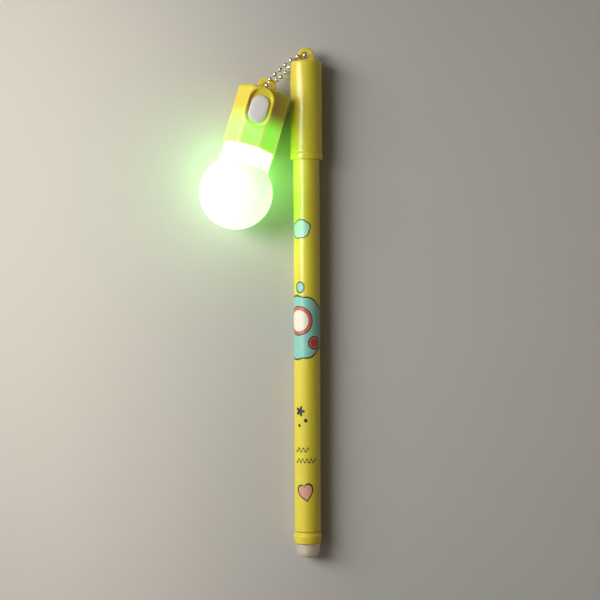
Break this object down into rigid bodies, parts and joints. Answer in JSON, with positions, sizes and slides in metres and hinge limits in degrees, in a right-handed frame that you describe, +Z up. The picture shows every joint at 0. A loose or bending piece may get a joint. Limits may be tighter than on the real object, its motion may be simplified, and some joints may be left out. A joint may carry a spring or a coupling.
{
  "type": "led light pen",
  "caption": "Capped gel pen with an eraser tail; a keychain lamp with a frosted globe and a push button hangs from the cap's eyelet on a ball chain.",
  "frame": {"origin": "on the surface the object lies on, under the middle of its bounding box", "axes": "+Y along the pen towards the cap, +X away from the lamp across the pen, +Z up"},
  "size_m": [0.0396, 0.1656, 0.0233],
  "materials": {
    "yellow_plastic": "glossy injection-moulded yellow",
    "button_plastic": "satin light grey",
    "frosted_globe": "frosted white, lit from inside",
    "frosted_rubber": "frosted translucent",
    "clear_plastic": "clear",
    "black_plastic": "matte black",
    "ink": "opaque gel",
    "grease": "waxy, translucent",
    "soft_seal": "matte grey",
    "board": "green solder mask",
    "chain_steel": "polished nickel plate",
    "bright_steel": "satin",
    "contact_brass": "satin"
  },
  "bodies": {
    "pen": {"barrel": "yellow_plastic", "nose_cone": "yellow_plastic", "refill_tube": "clear_plastic", "ink_column": "ink", "ink_follower": "grease", "tip_holder": "clear_plastic", "nib": "bright_steel", "nib_ball": "bright_steel", "tail_plug": "yellow_plastic", "eraser": "frosted_rubber"},
    "cap": {"cap": "yellow_plastic", "cap_seal": "soft_seal"},
    "chain": {"bead_01": "chain_steel", "bead_02": "chain_steel", "bead_03": "chain_steel", "bead_04": "chain_steel", "bead_05": "chain_steel", "bead_06": "chain_steel", "bead_07": "chain_steel", "bead_08": "chain_steel", "bead_09": "chain_steel", "bead_10": "chain_steel", "bead_11": "chain_steel", "bead_12": "chain_steel", "bead_13": "chain_steel", "bead_14": "chain_steel", "bead_15": "chain_steel", "bead_16": "chain_steel", "bead_17": "chain_steel", "link_01": "chain_steel", "link_02": "chain_steel", "link_03": "chain_steel", "link_04": "chain_steel", "link_05": "chain_steel", "link_06": "chain_steel", "link_07": "chain_steel", "link_08": "chain_steel", "link_09": "chain_steel", "link_10": "chain_steel", "link_11": "chain_steel", "link_12": "chain_steel", "link_13": "chain_steel", "link_15": "chain_steel", "link_16": "chain_steel", "link_17": "chain_steel", "chain_clasp": "chain_steel"},
    "lamp": {"lamp_housing": "yellow_plastic", "light_diode": "clear_plastic", "diode_holder": "black_plastic", "circuit_board": "board", "switch_body": "black_plastic", "button_cell_1": "bright_steel", "button_cell_2": "bright_steel", "button_cell_3": "bright_steel", "contact_plate": "contact_brass", "contact_spring": "bright_steel"},
    "button": {"push_button": "button_plastic", "switch_plunger": "black_plastic"},
    "globe": {"diffuser": "frosted_globe"}
  },
  "joints": [
    {"name": "cap_pull", "type": "slide", "parent": "pen", "child": "cap", "axis": [0, 1, 0.0057], "range_m": [0, 0.036]},
    {"name": "chain_swing", "type": "hinge", "parent": "cap", "child": "chain", "pos_m": [0.01454, 0.08015, 0.00542], "axis": [0, 0, 1], "range_deg": [-150, 0]},
    {"name": "lamp_swing", "type": "hinge", "parent": "chain", "child": "lamp", "pos_m": [0.0019, 0.06986, 0.00814], "axis": [0, 0, 1], "range_deg": [-110, 0]},
    {"name": "button_press", "type": "slide", "parent": "lamp", "child": "button", "axis": [-0.0275, -0.0947, -0.9951], "range_m": [0, 0.0007], "stiffness_N_per_m": 400},
    {"name": "globe_pull", "type": "slide", "parent": "lamp", "child": "globe", "axis": [-0.2776, -0.9556, 0.0986], "range_m": [0, 0.008]}
  ]
}
